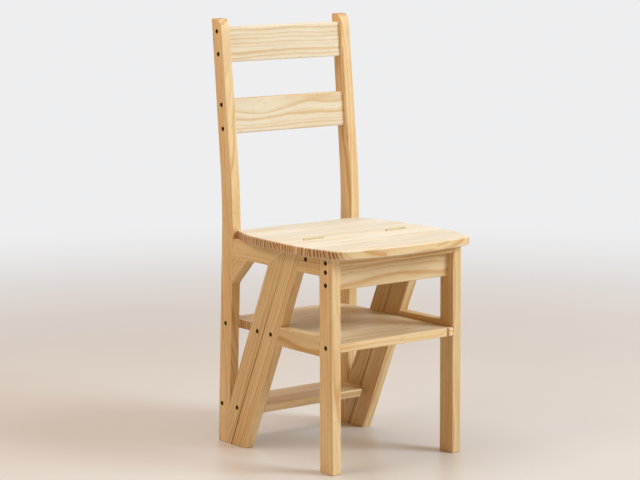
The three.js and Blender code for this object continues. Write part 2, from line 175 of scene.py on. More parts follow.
def without_idle_points(ring):
    return [here for before, here, after in zip(ring[-1:] + ring[:-1], ring, ring[1:] + ring[:1])
            if abs(turn_at(before, here, after)) > IDLE_TURN]


def section(node, axis, value):
    """The largest ring of a solid's edges at one value of an axis, anticlockwise, without idle points."""
    mesh = welded(node)
    plane = [k for k in range(3) if k != axis]
    flat = {v for v in mesh.verts if abs(v.co[axis] - value) < FLAT}
    links = {}
    for edge in mesh.edges:
        if all(v in flat for v in edge.verts):
            if sum(all(v in flat for v in face.verts) for face in edge.link_faces) < 2:
                first, second = edge.verts
                links.setdefault(first.index, []).append(second.index)
                links.setdefault(second.index, []).append(first.index)
    mesh.verts.ensure_lookup_table()
    rings = []
    unseen = set(links)
    while unseen:
        here = min(unseen, key=lambda index: (len(links[index]), index))
        ring = []
        while here is not None:
            unseen.discard(here)
            co = mesh.verts[here].co
            ring.append(Vector((co[plane[0]], co[plane[1]])))
            here = next((other for other in links[here] if other in unseen), None)
        rings.append(ring)
    mesh.free()
    ring = max(rings, key=lambda points: abs(area_of(points)))
    if area_of(ring) < 0:
        ring.reverse()
    return without_idle_points(ring)


def touches(node, fixed):
    """A test for whether a 2-D point of a node's outline lies against another board of its body."""
    body = body_of_node[node]
    near = [trees[other] for other in boards if other != node and body_of_node[other] == body]

    def test(point):
        place = fixed(point)
        return any(tree.find_nearest(place, CONTACT)[0] is not None for tree in near)

    return test


# The slanted parting line in the side view, from the hinges to the floor

pin_low, pin_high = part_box("hinge_pin_left")
foot_front = max(p.x for p in section("front_stile_left", ACROSS, -outer_face) if p.y < FLAT)
foot_rear = min(p.x for p in section("rear_stile_left", ACROSS, -outer_face) if p.y < FLAT)
SEAM_TOP = Vector(((pin_low.y + pin_high.y) / 2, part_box("seat_front")[1].z))
SEAM_FOOT = Vector(((foot_front + foot_rear) / 2, 0))


def along_seam(point):
    behind = (SEAM_FOOT - SEAM_TOP).normalized().cross(point - SEAM_TOP)
    return -CONTACT < behind < CONTACT + SEAM_OPENING


def opened(point):
    """The parting line opens a little towards the floor."""
    share = (SEAM_TOP.y - point.y) / (SEAM_TOP.y - SEAM_FOOT.y)
    return Vector((SEAM_OPENING * share if along_seam(point) else 0, 0))


# Outlines: rings of 2-D points, and then points with the radius to which the board's edge is eased there

def refined(ring):
    """Curved stretches of a ring get more points, on a smooth curve through the old ones."""
    count = len(ring)
    bends = [turn_at(ring[i - 1], ring[i], ring[(i + 1) % count]) for i in range(count)]
    gentle = [abs(bend) < SMOOTH_TURN for bend in bends]
    result = []
    for i in range(count):
        a, b = ring[i], ring[(i + 1) % count]
        result.append(a)
        span = (b - a).length
        if span > CURVE_LIMIT or not (gentle[i] or gentle[(i + 1) % count]):
            continue
        start = (b - ring[i - 1] if gentle[i] else b - a).normalized() * span
        end = (ring[(i + 2) % count] - a if gentle[(i + 1) % count] else b - a).normalized() * span
        for step in range(1, CURVE_PARTS):
            t = step / CURVE_PARTS
            result.append(
                a * (2 * t ** 3 - 3 * t ** 2 + 1) + start * (t ** 3 - 2 * t ** 2 + t)
                + b * (3 * t ** 2 - 2 * t ** 3) + end * (t ** 3 - t ** 2))
    low = Vector((min(p.x for p in ring), min(p.y for p in ring)))
    high = Vector((max(p.x for p in ring), max(p.y for p in ring)))
    return [Vector((min(max(p.x, low.x), high.x), min(max(p.y, low.y), high.y))) for p in result]


def filleted(ring, keep=lambda point: False, tight=lambda point: False):
    """Sharp corners of a ring become small arcs, and smaller ones where a test says so."""
    result = []
    for before, here, after in zip(ring[-1:] + ring[:-1], ring, ring[1:] + ring[:1]):
        turn = turn_at(before, here, after)
        if abs(turn) < SMOOTH_TURN or keep(here):
            result.append(here)
            continue
        back, ahead = (before - here).normalized(), (after - here).normalized()
        size = SEAM_EDGE if tight(here) else CORNER_RADIUS
        start = here + back * size * math.tan(abs(turn) / 2)
        centre = here + (back + ahead).normalized() * size / math.cos(turn / 2)
        for step in range(CORNER_STEPS + 1):
            result.append(centre + Matrix.Rotation(-turn * step / CORNER_STEPS, 2) @ (start - centre))
    return result


def eased(ring, touching):
    """Edges are eased where nothing touches them, and stay tight along a joint."""
    points, corners = [], []
    for a, b in zip(ring, ring[1:] + ring[:1]):
        steps = math.ceil((b - a).length / SAMPLE)
        points += [a.lerp(b, step / steps) for step in range(steps)]
        corners += [step == 0 for step in range(steps)]
    count = len(points)
    gaps = [0 if touching(point) else EASING_RAMP for point in points]
    for way in (1, -1):
        for k in range(2 * count):
            here, last = way * k % count, way * (k - 1) % count
            gaps[here] = min(gaps[here], gaps[last] + (points[here] - points[last]).length)
    radii = [JOINT_EDGE + (EASED_EDGE - JOINT_EDGE) * gap / EASING_RAMP for gap in gaps]
    return [(points[i], radii[i]) for i in range(count)
            if corners[i] or abs(radii[i - 1] + radii[(i + 1) % count] - 2 * radii[i]) > FLAT]


def near_joint(point, ring, touching):
    """Whether a corner of an outline meets another board."""
    index = ring.index(point)
    before, after = ring[index - 1], ring[(index + 1) % len(ring)]
    beside = [point + (other - point).normalized() * SAMPLE for other in (before, after)]
    return any(touching(probe) for probe in (point, *beside))


def longest_side(ring):
    return max(zip(ring, ring[1:] + ring[:1]), key=lambda pair: (pair[1] - pair[0]).length)


def inside(point, ring):
    crossings = 0
    for a, b in zip(ring, ring[1:] + ring[:1]):
        if (a.y > point.y) != (b.y > point.y):
            crossings += point.x < a.x + (b.x - a.x) * (point.y - a.y) / (b.y - a.y)
    return crossings % 2 == 1


# Building meshes

def new_object(name, mesh):
    data = bpy.data.meshes.new(name)
    mesh.to_mesh(data)
    mesh.free()
    thing = bpy.data.objects.new(name, data)
    bpy.context.scene.collection.objects.link(thing)
    return thing


def miters(points):
    """For each point of an anticlockwise ring, how it moves when the ring shrinks by one unit."""
    result = []
    for before, here, after in zip(points[-1:] + points[:-1], points, points[1:] + points[:1]):
        first, second = (here - before).normalized(), (after - here).normalized()
        left, right = Vector((-first.y, first.x)), Vector((-second.y, second.x))
        result.append((left + right) / max(1 + left.dot(right), MITER_LIMIT))
    return result


def slab(name, outline, low, high, axis):
    """A board with an outline across one axis and rounded edges between its faces and its sides."""
    plane = [k for k in range(3) if k != axis]
    points = [point for point, radius in outline]
    moves = miters(points)
    mesh = bmesh.new()
    quarter = [math.pi / 2 * step / EASING_STEPS for step in range(EASING_STEPS + 1)]
    levels = [(low, 1, angle) for angle in quarter] + [(high, -1, angle) for angle in reversed(quarter)]
    rings = []
    for start, way, angle in levels:
        ring = []
        for (point, radius), move in zip(outline, moves):
            place = point + move * radius * (1 - math.sin(angle))
            co = ORIGIN.copy()
            co[plane[0]], co[plane[1]] = place
            co[axis] = start + way * radius * (1 - math.cos(angle))
            ring.append(mesh.verts.new(co))
        rings.append(ring)
    count = len(points)
    for index, (lower, upper) in enumerate(zip(rings, rings[1:])):
        for i in range(count):
            face = mesh.faces.new((lower[i], lower[(i + 1) % count], upper[(i + 1) % count], upper[i]))
            face.material_index = PLAIN_FACE if index == EASING_STEPS else EASED_FACE
    mesh.faces.new(tuple(reversed(rings[0])))
    mesh.faces.new(rings[-1])
    bmesh.ops.recalc_face_normals(mesh, faces=mesh.faces)
    return new_object(name, mesh)


def lathed(mesh, profile, place, direction, kind=PLAIN_FACE):
    """A round solid, from axis to axis or round a bore: its profile holds distances along it and radii."""
    turn = direction.to_track_quat("Z", "Y").to_matrix()
    angles = [2 * math.pi * k / ROUND_STEPS for k in range(ROUND_STEPS)]
    rings = []
    for along, radius in profile:
        spots = [Vector((radius * math.cos(a), radius * math.sin(a), along)) for a in angles]
        if radius == 0:
            spots = [Vector((0, 0, along))]
        rings.append([mesh.verts.new(place + turn @ spot) for spot in spots])
    bored = profile[0][1] > 0
    for lower, upper in zip(rings, rings[1:] + rings[:1] if bored else rings[1:]):
        for k in range(ROUND_STEPS):
            corners = [lower[k % len(lower)], lower[(k + 1) % len(lower)],
                       upper[(k + 1) % len(upper)], upper[k % len(upper)]]
            face = mesh.faces.new(tuple(dict.fromkeys(corners)))
            face.material_index = kind


def boxed(mesh, low, high, kind=PLAIN_FACE):
    """A rectangular solid between two corners."""
    low, high = Vector(map(min, low, high)), Vector(map(max, low, high))
    middle = (low + high) / 2
    made = bmesh.ops.create_cube(mesh, size=1)
    for vertex in made["verts"]:
        vertex.co = Vector(a * b for a, b in zip(vertex.co, high - low)) + middle
    for face in {face for vertex in made["verts"] for face in vertex.link_faces}:
        face.material_index = kind


def combine(piece, tool_mesh, operation):
    """Joins a mesh to a piece or cuts it out of it."""
    bmesh.ops.recalc_face_normals(tool_mesh, faces=tool_mesh.faces)
    tool = new_object("tool", tool_mesh)
    for thing in (piece, tool):
        while len(thing.data.materials) < FACE_KINDS:
            thing.data.materials.append(None)
    change = piece.modifiers.new("combine", "BOOLEAN")
    change.operation = operation
    change.solver = "EXACT"
    change.object = tool
    depsgraph = bpy.context.evaluated_depsgraph_get()
    result = bpy.data.meshes.new_from_object(piece.evaluated_get(depsgraph))
    piece.modifiers.clear()
    old = piece.data
    piece.data = result
    bpy.data.meshes.remove(old)
    bpy.data.objects.remove(tool)
    if not result.polygons:
        raise ValueError("nothing is left of " + piece.name)


def dress(piece, material):
    """Gives a piece one material all over, and soft shading between its sharp edges."""
    piece.data.materials.clear()
    piece.data.materials.append(material)
    for face in piece.data.polygons:
        face.material_index = 0
        face.use_smooth = True
    piece.data.set_sharp_from_angle(angle=SHARP_ANGLE)


# Materials

# Places of the colour sockets on a mix node
MIX_FIRST, MIX_SECOND, MIX_RESULT = 6, 7, 2
MID_GREY = (0.5, 0.5, 0.5)
NOISE_DETAIL = 3.0


class Graph:
    """Short names for the nodes of a material or a world."""

    def __init__(self, owner):
        owner.use_nodes = True
        self.tree = owner.node_tree
        self.shader = self.tree.nodes.get("Principled BSDF")

    def node(self, kind, inputs=(), **settings):
        made = self.tree.nodes.new(kind)
        for name, value in settings.items():
            setattr(made, name, value)
        for key, value in dict(inputs).items():
            self.put(made.inputs[key], value)
        return made

    def put(self, socket, value):
        if isinstance(value, bpy.types.NodeSocket):
            self.tree.links.new(value, socket)
        elif socket.type == "RGBA":
            socket.default_value = (*value, 1)
        else:
            socket.default_value = value

    def attribute(self, name, output="Fac"):
        return self.node("ShaderNodeAttribute", attribute_name=name).outputs[output]

    def math(self, operation, first, second=0.0):
        return self.node("ShaderNodeMath", {0: first, 1: second}, operation=operation).outputs[0]

    def times(self, first, second):
        return self.math("MULTIPLY", first, second)

    def plus(self, first, second):
        return self.math("ADD", first, second)

    def vector(self, operation, first, second):
        return self.node("ShaderNodeVectorMath", {0: first, 1: second}, operation=operation).outputs[0]

    def stretch(self, vector, amounts):
        return self.vector("MULTIPLY", vector, amounts)

    def centred(self, colour):
        """A random colour as a vector, with its numbers round zero."""
        return self.vector("SUBTRACT", colour, MID_GREY)

    def length(self, vector):
        return self.node("ShaderNodeVectorMath", {0: vector}, operation="LENGTH").outputs["Value"]

    def noise(self, vector, scale=1.0, detail=NOISE_DETAIL, roughness=0.5, output="Fac"):
        return self.node("ShaderNodeTexNoise", {
            "Vector": vector, "Scale": scale, "Detail": detail, "Roughness": roughness}).outputs[output]

    def noise_along(self, number):
        """Noise that changes about once per unit of a number."""
        return self.node("ShaderNodeTexNoise", {"W": number, "Scale": 1.0, "Detail": 1.0},
                         noise_dimensions="1D").outputs["Fac"]

    def mix(self, factor, first, second, blend="MIX"):
        made = self.node("ShaderNodeMix", data_type="RGBA", blend_type=blend, clamp_factor=True)
        self.put(made.inputs[0], factor)
        self.put(made.inputs[MIX_FIRST], first)
        self.put(made.inputs[MIX_SECOND], second)
        return made.outputs[MIX_RESULT]

    def shade(self, colour, brightness):
        """A colour times one number."""
        grey = self.node("ShaderNodeCombineColor", {k: brightness for k in range(3)}).outputs[0]
        return self.mix(1.0, colour, grey, "MULTIPLY")

    def ramp(self, factor, stops):
        """A number that changes in steps: each stop is a place and the value there."""
        made = self.node("ShaderNodeValToRGB", {0: factor})
        elements = made.color_ramp.elements
        for position, value in stops[1:-1]:
            elements.new(position)
        for element, (position, value) in zip(elements, stops):
            element.position = position
            element.color = (value, value, value, 1)
        return made.outputs[0]

    def smooth(self, value, low, high):
        return self.node("ShaderNodeMapRange", {
            "Value": value, "From Min": low, "From Max": high, "To Min": 0.0, "To Max": 1.0},
            interpolation_type="SMOOTHSTEP").outputs[0]

    def relief(self, height, strength, depth):
        bump = self.node("ShaderNodeBump", {"Height": height, "Strength": strength, "Distance": depth})
        self.put(self.shader.inputs["Normal"], bump.outputs["Normal"])


# The colours of pine, as linear red, green and blue
EARLY = (0.85, 0.65, 0.365)
LATE = (0.69, 0.42, 0.17)
# The two pale colours: partly paler wood, partly painted light on the broad faces of boards
PALE_LIT_EARLY = (0.84, 0.84, 0.75)
PALE_LIT_LATE = (0.78, 0.62, 0.37)
END_EARLY = (0.80, 0.56, 0.33)
END_LATE = (0.30, 0.14, 0.055)
WARM = (0.84, 0.60, 0.34)
# The next colour, for eased edges: partly wear, partly a painted highlight along the rounded edges
WEAR_AND_SHEEN = (0.95, 0.82, 0.60)
FLECK = (0.30, 0.14, 0.05)
KNOT_RIM = (0.20, 0.085, 0.03)
KNOT_CORE = (0.46, 0.24, 0.10)
# Colour of faces cut into the wood, in bores and housings: mostly painted shade of the hollows, partly
# darker raw cut wood
BORE_WOOD_AND_SHADE = (0.16, 0.085, 0.04)

# Knots: how far apart they lie, how many places hold one, and how the rings swerve round them
KNOT_SPACING = 110 * MM
KNOT_RADIUS = 3.6 * MM
KNOT_PITH = 50 * MM
KNOT_SHARE = 0.09
KNOT_EDGE_SHARES = (1.15, 0.85)
KNOT_RIM_SHARES = (0.45, 0.95)
KNOT_RIM_WEIGHT = 0.85
SWERVE_SHARES = (6.5, 0.8)
SWERVE_RINGS = 0.8

# Rings: how they sway along a board, and how late wood darkens across the width of one ring
RING_SWAY = 22 * MM
SWAY_SCALES = (4.0, 11.0, 11.0)
SWAY_DETAIL = 2.0
STAVE_SHIFT = (1000 * MM, 60 * MM, 60 * MM)
UNEVEN_SCALE = 0.36
UNEVEN_RINGS = 2.2
LATE_SHARES = ((0.0, 0.05), (0.30, 0.0), (0.62, 0.35), (0.86, 1.0), (0.94, 0.85), (1.0, 0.05))
END_LATE_SHARES = ((0.0, 0.1), (0.25, 0.0), (0.50, 0.45), (0.70, 1.0), (0.92, 1.0), (1.0, 0.1))
VIGOUR_SCALE = 0.55
VIGOUR_START = 40.0
VIGOUR_SHARES = (0.34, 0.62)
VIGOUR_WEIGHT = 0.7
FAINTEST_RING = 0.12

# Fibres, soft blotches and resin flecks
FIBRE_SCALES = (14.0, 900.0, 900.0)
FIBRE_FINENESS = 0.6
FIBRE_SHADE_SHARES = ((0.30, 0.90), (0.70, 1.0))
BLOTCH_SCALES = (5.0, 30.0, 30.0)
BLOTCH_WEIGHT = 0.5
WARMTH_SHARES = (0.40, 0.72)
WARMTH_WEIGHT = 0.35
FLECK_SCALES = (55.0, 1100.0, 1100.0)
FLECK_SHARES = (0.74, 0.80)
FLECK_WEIGHT = 0.45
DARKEST_STAVE = 0.91
STAVE_SPREAD = 0.12
# Paler patches on eased edges: partly wear, partly a painted highlight along the edges
WEAR_AND_SHEEN_SHARES = (0.35, 0.65)
WEAR_AND_SHEEN_WEIGHT = 0.22

# Satin lacquer: smoother on the faces, duller on end grain, on worn edges and in the bores
LACQUER_ROUGHNESS = 0.48
FIBRE_ROUGHNESS = 0.12
WORN_ROUGHNESS = 0.16
BORE_ROUGHNESS = 0.3
COAT_WEIGHT = 0.06
COAT_ROUGHNESS = 0.35
LACQUER_SPECULAR = 0.25
RING_HEIGHT = 0.6
FIBRE_HEIGHT = 0.5
GRAIN_RELIEF = 0.22
GRAIN_DEPTH = 0.15 * MM


def make_pine():
    """Pine from the wood's own coordinates: rings round a pith, knots that run out from it and fibres."""
    material = bpy.data.materials.new("pine")
    g = Graph(material)
    stave = g.math("FLOOR", g.attribute("stave"))
    random_stave = g.node("ShaderNodeTexWhiteNoise", {"W": stave}, noise_dimensions="1D").outputs
    shift = g.stretch(g.centred(random_stave["Color"]), STAVE_SHIFT)
    place = g.vector("ADD", g.attribute("grain", "Vector"), shift)

    # Knots are thin cones, one to a chosen cell of a net laid round the pith
    apart = g.node("ShaderNodeSeparateXYZ", {"Vector": place}).outputs
    around = g.times(g.math("ARCTAN2", apart["Z"], apart["Y"]), KNOT_PITH / KNOT_SPACING)
    onward = g.math("DIVIDE", apart["X"], KNOT_SPACING)
    net = g.node("ShaderNodeCombineXYZ", {"X": onward, "Y": around}).outputs[0]
    cells = g.node("ShaderNodeTexVoronoi", {"Vector": net, "Scale": 1.0}, voronoi_dimensions="2D").outputs
    draw = g.node("ShaderNodeSeparateColor", {"Color": cells["Color"]}).outputs["Red"]
    chosen = g.math("LESS_THAN", draw, KNOT_SHARE)
    nearness = g.times(cells["Distance"], KNOT_SPACING / KNOT_RADIUS)
    knot = g.times(chosen, g.smooth(nearness, *KNOT_EDGE_SHARES))
    rim = g.times(knot, g.smooth(nearness, *KNOT_RIM_SHARES))
    swerve = g.times(chosen, g.smooth(nearness, *SWERVE_SHARES))

    # Rings lie round the pith, bent by slow waves along the board and round the knots
    waves = g.noise(g.stretch(place, SWAY_SCALES), detail=SWAY_DETAIL, output="Color")
    bend = g.stretch(g.centred(waves), (0.0, RING_SWAY, RING_SWAY))
    distance = g.length(g.stretch(g.vector("ADD", place, bend), (0.0, 1.0, 1.0)))
    count = g.math("DIVIDE", distance, g.attribute("ring_width"))
    uneven = g.times(g.noise_along(g.times(count, UNEVEN_SCALE)), UNEVEN_RINGS)
    ring = g.math("FRACT", g.plus(g.plus(count, uneven), g.times(swerve, SWERVE_RINGS)))
    late = g.ramp(ring, LATE_SHARES)
    end_late = g.ramp(ring, END_LATE_SHARES)

    fibres = g.noise(g.stretch(place, FIBRE_SCALES), roughness=FIBRE_FINENESS)
    blotches = g.noise(g.stretch(place, BLOTCH_SCALES))
    flecks = g.smooth(g.noise(g.stretch(place, FLECK_SCALES), detail=0.0), *FLECK_SHARES)
    vigour = g.smooth(g.noise_along(g.plus(g.times(count, VIGOUR_SCALE), VIGOUR_START)), *VIGOUR_SHARES)
    end = g.attribute("end_grain")
    bored = g.attribute("bored")
    pale = g.attribute("pale")
    # Eased edges turn paler in patches: partly wear, partly a painted highlight
    wear_and_sheen = g.times(g.attribute("eased"), g.smooth(blotches, *WEAR_AND_SHEEN_SHARES))

    depth = g.plus(g.plus(FAINTEST_RING, g.times(vigour, VIGOUR_WEIGHT)), g.times(blotches, BLOTCH_WEIGHT))
    # Broad faces mix towards the pale colours: partly paler wood, partly painted light
    early_colour = g.mix(pale, EARLY, PALE_LIT_EARLY)
    late_colour = g.mix(pale, LATE, PALE_LIT_LATE)
    side_colour = g.mix(g.times(late, depth), early_colour, late_colour)
    colour = g.mix(end, side_colour, g.mix(end_late, END_EARLY, END_LATE))
    colour = g.mix(g.times(g.smooth(blotches, *WARMTH_SHARES), WARMTH_WEIGHT), colour, WARM, "MULTIPLY")
    colour = g.shade(colour, g.plus(DARKEST_STAVE, g.times(random_stave["Value"], STAVE_SPREAD)))
    colour = g.mix(1.0, colour, g.ramp(fibres, FIBRE_SHADE_SHARES), "MULTIPLY")
    colour = g.mix(g.times(flecks, FLECK_WEIGHT), colour, FLECK)
    colour = g.mix(knot, colour, KNOT_CORE)
    colour = g.mix(g.times(rim, KNOT_RIM_WEIGHT), colour, KNOT_RIM)
    colour = g.mix(g.times(wear_and_sheen, WEAR_AND_SHEEN_WEIGHT), colour, WEAR_AND_SHEEN)
    # Faces cut into the wood are painted dark: mostly painted shade of the hollows, partly raw cut wood
    g.put(g.shader.inputs["Base Color"], g.mix(bored, colour, BORE_WOOD_AND_SHADE))

    dull = g.times(g.math("MAXIMUM", end, wear_and_sheen), WORN_ROUGHNESS)
    rough = g.plus(g.plus(LACQUER_ROUGHNESS, g.times(fibres, FIBRE_ROUGHNESS)), dull)
    g.put(g.shader.inputs["Roughness"], g.plus(rough, g.times(bored, BORE_ROUGHNESS)))
    g.put(g.shader.inputs["Coat Weight"], COAT_WEIGHT)
    g.put(g.shader.inputs["Coat Roughness"], COAT_ROUGHNESS)
    g.put(g.shader.inputs["Specular IOR Level"], LACQUER_SPECULAR)
    g.relief(g.plus(g.times(late, RING_HEIGHT), g.times(fibres, FIBRE_HEIGHT)), GRAIN_RELIEF, GRAIN_DEPTH)
    return material


# Plated metal: light and dark colour and roughness, then its streaks and duller patches
STEEL = ((0.055, 0.050, 0.046), (0.022, 0.020, 0.018), 0.32)
BRASS = ((0.52, 0.38, 0.19), (0.36, 0.25, 0.11), 0.40)
STREAK_SCALES = (40.0, 1500.0, 1500.0)
STREAK_WEIGHT = 0.3
STREAK_RELIEF = 0.1
STREAK_DEPTH = 0.02 * MM
PATCH_SCALE = 260.0
PATCH_SHARES = (0.3, 0.7)
PATCH_ROUGHNESS = 0.2


def make_metal(name, light, dark, roughness):
    """Plated metal with faint streaks and darker, duller patches."""
    material = bpy.data.materials.new(name)
    g = Graph(material)
    place = g.node("ShaderNodeTexCoord").outputs["Object"]
    streaks = g.noise(g.stretch(place, STREAK_SCALES))
    patches = g.noise(place, PATCH_SCALE)
    colour = g.mix(g.smooth(patches, *PATCH_SHARES), light, dark)
    g.put(g.shader.inputs["Base Color"], g.mix(g.times(streaks, STREAK_WEIGHT), colour, dark))
    g.put(g.shader.inputs["Metallic"], 1.0)
    g.put(g.shader.inputs["Roughness"], g.plus(roughness, g.times(patches, PATCH_ROUGHNESS)))
    g.relief(streaks, STREAK_RELIEF, STREAK_DEPTH)
    return material


pine = make_pine()
steel = make_metal("black_steel", *STEEL)
brass = make_metal("satin_brass", *BRASS)


# Wood: every board carries its own place in a tree, so that rings run through it and show on all its faces

# Where boards and the staves of glued panels were sawn: distance and angle of the pith, and ring width
PITH_DISTANCE = (30 * MM, 75 * MM)
PITH_ANGLE = (0, 2 * math.pi)
PITH_TILT = 0.018
RING_WIDTH = (4.5 * MM, 7.5 * MM)
STAVE_PITH_DISTANCE = (100 * MM, 140 * MM)
STAVE_PITH_ANGLE = (-0.3, 0.3)
STAVE_RING_WIDTH = 8 * MM
CUTS = {
    "top_back_slat": (95 * MM, 0.30, 9.5 * MM),
    "middle_back_slat": (50 * MM, 0.90, 6.5 * MM),
    "front_apron": (84 * MM, -0.95, 9 * MM),
}

# Each piece starts somewhere along a log, and each of its staves has a number of its own
LOG_LENGTH = 3
PIECE_NUMBERS = 90
STAVES_PER_PIECE = 20
ONLY_STAVE = 0.5
SEAT_STAVE = 46 * MM
SHELF_STAVE = 52 * MM

# How pale the broad faces are: partly the wood's own tone, partly painted light that makes broad faces
# paler than the narrow edges, as if lit more; and which faces count as broad or as end grain
SLAT_PALE_AND_LIT = 0.58
SEAT_PALE_AND_LIT = 1.0
APRON_PALE_AND_LIT = 0.12
SHELF_PALE_AND_LIT = 0.3
LIT_BROAD_SHARES = (0.2, 0.8)
END_SHARES = (0.45, 0.85)


def share_between(value, low, high):
    return min(max((value - low) / (high - low), 0), 1)


def write_faces(data, name, values):
    """Writes one number per face, for the material to read."""
    data.attributes.new(name, "FLOAT", "FACE").data.foreach_set("value", values)


def wooden(piece, node, along, across, stave_width=None, pale=0.0):
    """Writes the wood's own coordinates and kinds of faces on a mesh, and lets it replace its node."""
    draw = random.Random(node)
    along = along.normalized()
    across = (across - along * across.dot(along)).normalized()
    thick = along.cross(across)
    lowest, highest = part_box(node)
    centre = (lowest + highest) / 2
    pith = draw.uniform(*(STAVE_PITH_DISTANCE if stave_width else PITH_DISTANCE))
    angle = draw.uniform(*(STAVE_PITH_ANGLE if stave_width else PITH_ANGLE))
    tilt = (draw.uniform(-PITH_TILT, PITH_TILT), draw.uniform(-PITH_TILT, PITH_TILT))
    start = draw.uniform(0, LOG_LENGTH)
    number = draw.randrange(1, PIECE_NUMBERS) * STAVES_PER_PIECE
    width = STAVE_RING_WIDTH if stave_width else draw.uniform(*RING_WIDTH)
    if node in CUTS:
        pith, angle, width = CUTS[node]
    pith_across, pith_deep = pith * math.cos(angle), pith * math.sin(angle)
    data = piece.data
    places, staves = [], []
    for vertex in data.vertices:
        offset = vertex.co - centre
        u, v, w = offset.dot(along), offset.dot(across), offset.dot(thick)
        places += (u + start, v + pith_across + tilt[0] * u, w + pith_deep + tilt[1] * u)
        staves.append(number + (v / stave_width + STAVES_PER_PIECE / 2 if stave_width else ONLY_STAVE))
    ends = [abs(face.normal.dot(along)) for face in data.polygons]
    broads = [abs(face.normal.dot(thick)) for face in data.polygons]
    kinds = [face.material_index for face in data.polygons]
    data.attributes.new("grain", "FLOAT_VECTOR", "POINT").data.foreach_set("vector", places)
    data.attributes.new("stave", "FLOAT", "POINT").data.foreach_set("value", staves)
    write_faces(data, "ring_width", [width] * len(kinds))
    # Paleness on broad faces only: partly the wood's tone, partly painted light that leaves the narrow
    # edges darker
    write_faces(data, "pale", [pale * share_between(share, *LIT_BROAD_SHARES) for share in broads])
    write_faces(data, "end_grain", [share_between(share, *END_SHARES) for share in ends])
    write_faces(data, "eased", [float(kind == EASED_FACE) for kind in kinds])
    write_faces(data, "bored", [float(kind == BORED_FACE) for kind in kinds])
    dress(piece, pine)
    shading = piece.modifiers.new("shading", "WEIGHTED_NORMAL")
    shading.keep_sharp = True
    shading.weight = LARGE_FACE_WEIGHT
    piece.name = node + "_wood"
    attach(piece, body_of_node[node])
    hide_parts(node)


# Members of the side frames

through = outer_face - inner_face + OVERRUN
BORE_PROFILE = [
    (-OVERRUN, 0), (-OVERRUN, BORE_RADIUS + BORE_CHAMFER), (0, BORE_RADIUS + BORE_CHAMFER),
    (BORE_CHAMFER, BORE_RADIUS), (BORE_DEPTH, BORE_RADIUS), (BORE_DEPTH, PILOT_RADIUS),
    (through, PILOT_RADIUS), (through, 0),
]


def screw_places(side):
    """Where the screws of one side go in, as points in the side view."""
    boxes = [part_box(node) for node in sorted(nodes) if node.startswith("screw_" + side)]
    return [((low + high) / 2).yz for low, high in boxes]


def grain_direction(name, ring):
    """Grain runs along a post from foot to top, and along the longest side of any other member."""
    start, end = longest_side(ring)
    if name == "rear_post":
        start, end = min(ring, key=lambda p: p.y), max(ring, key=lambda p: p.y)
    return Vector((0, end.x - start.x, end.y - start.y))


def housings_in(node, way):
    """Boxes for the ends of the shelves and the bearer."""
    mesh = bmesh.new()
    for board in HOUSED_BOARDS:
        if body_of_node[board] == body_of_node[node]:
            start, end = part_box(board)
            boxed(mesh,
                  (way * (inner_face - OVERRUN), start.y - OVERRUN, start.z - HOUSING_GAP),
                  (way * (end.x + HOUSING_GAP), end.y + OVERRUN, end.z + HOUSING_GAP), BORED_FACE)
    return mesh


def side_member(name, side):
    node = name + "_" + side
    way = SIDES[side]
    ring = section(node, ACROSS, way * outer_face)
    if name == "rear_stile":
        ring = [point + opened(point) for point in ring]
    middle_x = way * (inner_face + outer_face) / 2
    touching = touches(node, lambda point: Vector((middle_x, point.x, point.y)))
    smooth = refined(ring)
    rounded = filleted(smooth, keep=lambda point: near_joint(point, smooth, touching))
    outline = eased(rounded, lambda point: touching(point) or along_seam(point))
    low, high = sorted((way * inner_face, way * outer_face))
    piece = slab(node, outline, low, high, ACROSS)
    combine(piece, housings_in(node, way), "DIFFERENCE")

    bores = bmesh.new()
    for point in screw_places(side):
        if inside(point, ring):
            lathed(bores, BORE_PROFILE, Vector((way * outer_face, *point)), -way * X_AXIS, BORED_FACE)
    if bores.verts:
        combine(piece, bores, "DIFFERENCE")
    along = grain_direction(name, ring)
    wooden(piece, node, along, Vector((0, -along.z, along.y)))


for side in SIDES:
    for name in SIDE_MEMBERS:
        side_member(name, side)


# Boards that run from side to side

CROSS_BOARDS = {
    "top_back_slat": SLAT_PALE_AND_LIT,
    "middle_back_slat": SLAT_PALE_AND_LIT,
    "front_apron": APRON_PALE_AND_LIT,
    "seat_bearer": APRON_PALE_AND_LIT,
}


def cross_board(node, tight=lambda point: False):
    """A board from side to side, and the ring of its end."""
    low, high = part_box(node)
    ring = filleted(section(node, ACROSS, high.x), tight=tight)
    return slab(node, [(point, JOINT_EDGE) for point in ring], low.x, high.x, ACROSS), ring


def shelf_board(node, seam_side):
    """A shelf: its edge along the parting line is tight."""
    low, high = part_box(node)
    middle = (low.y + high.y) / 2
    return cross_board(node, tight=lambda point: (point.x - middle) * seam_side > 0)


def add_nose(piece, ring):
    """The front edge of the lower shelf reaches forward between the front stiles."""
    low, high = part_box("lower_shelf")
    middle = (low.y + high.y) / 2
    reach = min(point.x for point in ring) - low.y
    nose_ring = filleted([
        Vector((point.x - reach, point.y)) if point.x < middle else point
        for point in section("lower_shelf", ACROSS, high.x)])
    outline = [(point, EASED_EDGE) for point in nose_ring]
    nose = slab("nose", outline, -NOSE_HALF_WIDTH, NOSE_HALF_WIDTH, ACROSS)
    mesh = bmesh.new()
    mesh.from_mesh(nose.data)
    bpy.data.objects.remove(nose)
    combine(piece, mesh, "UNION")


for node, pale_and_lit in CROSS_BOARDS.items():
    piece, ring = cross_board(node)
    start, end = longest_side(ring)
    wooden(piece, node, X_AXIS, Vector((0, end.x - start.x, end.y - start.y)), pale=pale_and_lit)

for node, seam_side in (("middle_shelf_front", 1), ("middle_shelf_rear", -1), ("lower_shelf", -1)):
    piece, ring = shelf_board(node, seam_side)
    if node == "lower_shelf":
        add_nose(piece, ring)
    wooden(piece, node, X_AXIS, Y_AXIS, SHELF_STAVE, SHELF_PALE_AND_LIT)


# Seat halves

